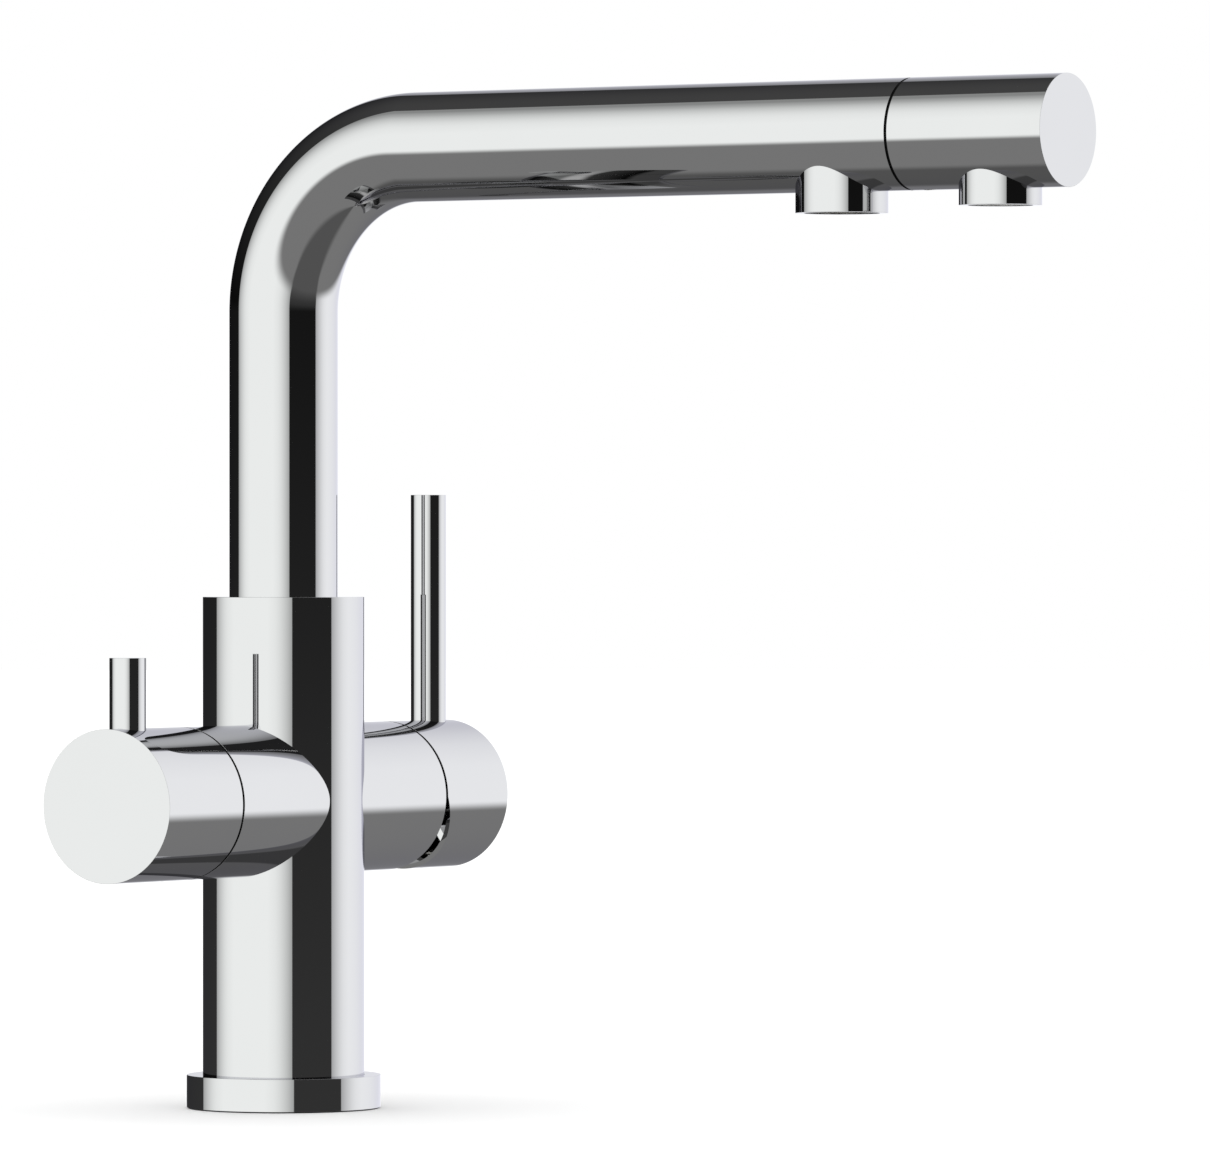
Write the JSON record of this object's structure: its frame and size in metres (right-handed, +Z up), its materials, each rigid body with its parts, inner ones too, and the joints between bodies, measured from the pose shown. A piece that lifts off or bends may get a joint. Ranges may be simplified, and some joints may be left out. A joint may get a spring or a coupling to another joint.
{
  "type": "four-way kitchen tap",
  "caption": "Chrome kitchen tap with a right-angled swivel spout, a side lever mixer, a rotary filtered-water knob and separate outlets for tap and filtered water.",
  "frame": {"origin": "centre of the deck seat, on the underside of the base gasket", "axes": "+Z up along the column and the spout's swivel axis, spout reaching towards -Y (the user), mixer handle on +X, filtered-water handle on -X"},
  "size_m": [0.1672, 0.278, 0.3395],
  "materials": {
    "chrome": "polished",
    "nickel": "plated, machined",
    "brass": "machined",
    "copper": "drawn copper",
    "rubber": "matt",
    "black_plastic": "matt",
    "white_plastic": "moulded",
    "grey_plastic": "moulded",
    "ceramic": "lapped ceramic",
    "steel": "zinc plated"
  },
  "bodies": {
    "body": {"base_flange": "chrome", "body_casting": "chrome", "mixer_clamp_nut": "nickel", "mounting_shank": "brass", "inlet_plate": "brass", "waterway_core": "brass", "filter_clamp_nut": "brass", "filter_valve_body": "brass", "cold_riser": "copper", "hot_riser": "copper", "still_riser": "copper", "sparkling_riser": "copper", "base_gasket": "rubber", "riser_o_rings": "rubber", "core_o_ring": "rubber", "filtered_swivel_ring": "rubber", "mixer_cartridge_seals": "rubber", "filter_valve_seals": "rubber", "filter_glide_washer": "black_plastic", "spout_thrust_washer": "white_plastic", "mixer_cartridge_base": "grey_plastic", "mixer_cartridge_housing": "grey_plastic", "filter_valve_base": "grey_plastic", "mixer_fixed_disc": "ceramic", "filter_fixed_disc": "ceramic", "spout_retaining_screw": "steel"},
    "fixings": {"fixing_rubber": "rubber", "fixing_washer": "steel", "fixing_nut": "brass"},
    "mixer_rotor": {"mixer_rotor": "grey_plastic", "mixer_pivot_pin": "steel"},
    "mixer_control": {"mixer_stem": "steel", "mixer_handle": "chrome", "mixer_lever": "chrome", "mixer_grub_screw": "steel"},
    "mixer_slider": {"mixer_moving_disc": "ceramic", "mixer_disc_carrier": "grey_plastic"},
    "filter_control": {"filter_handle": "chrome", "filter_lever": "chrome", "filter_grub_screw": "steel", "filter_spindle": "brass", "filter_moving_disc": "ceramic", "filter_spindle_o_rings": "rubber"},
    "spout": {"spout_foot": "brass", "spout_glide_rings": "white_plastic", "spout_o_rings": "rubber", "spout_tube": "chrome", "filtered_tube": "white_plastic", "mixed_outlet": "chrome", "aerator_cup": "nickel", "aerator_mesh": "white_plastic", "aerator_seal": "rubber", "spout_end_plug": "brass", "plug_o_ring": "rubber", "head_seam_ring": "black_plastic", "spout_head": "chrome", "head_grub_screw": "steel", "filtered_outlet": "chrome", "filtered_flow_insert": "white_plastic", "filtered_insert_seal": "rubber"}
  },
  "joints": [
    {"name": "spout_swivel", "type": "hinge", "parent": "body", "child": "spout", "pos_m": [0, 0, 0.14225], "axis": [0, 0, 1], "continuous": true},
    {"name": "mixer_turn", "type": "hinge", "parent": "body", "child": "mixer_rotor", "pos_m": [0.0504, 0, 0.0858], "axis": [1, 0, 0], "range_deg": [-50, 50]},
    {"name": "mixer_tilt", "type": "hinge", "parent": "mixer_rotor", "child": "mixer_control", "pos_m": [0.0504, 0, 0.0858], "axis": [0, 1, 0], "range_deg": [0, 18]},
    {"name": "mixer_disc_slide", "type": "slide", "parent": "mixer_rotor", "child": "mixer_slider", "axis": [0, 0, 1], "range_m": [0, 0.0064]},
    {"name": "filter_turn", "type": "hinge", "parent": "body", "child": "filter_control", "pos_m": [-0.0494, 0, 0.0858], "axis": [1, 0, 0], "range_deg": [-90, 90]},
    {"name": "fixing_travel", "type": "slide", "parent": "body", "child": "fixings", "axis": [0, 0, 1], "range_m": [0, 0.036]}
  ],
  "couplings": [
    {"joint": "mixer_disc_slide", "follows": "mixer_tilt", "m_per_rad": 0.020214}
  ]
}
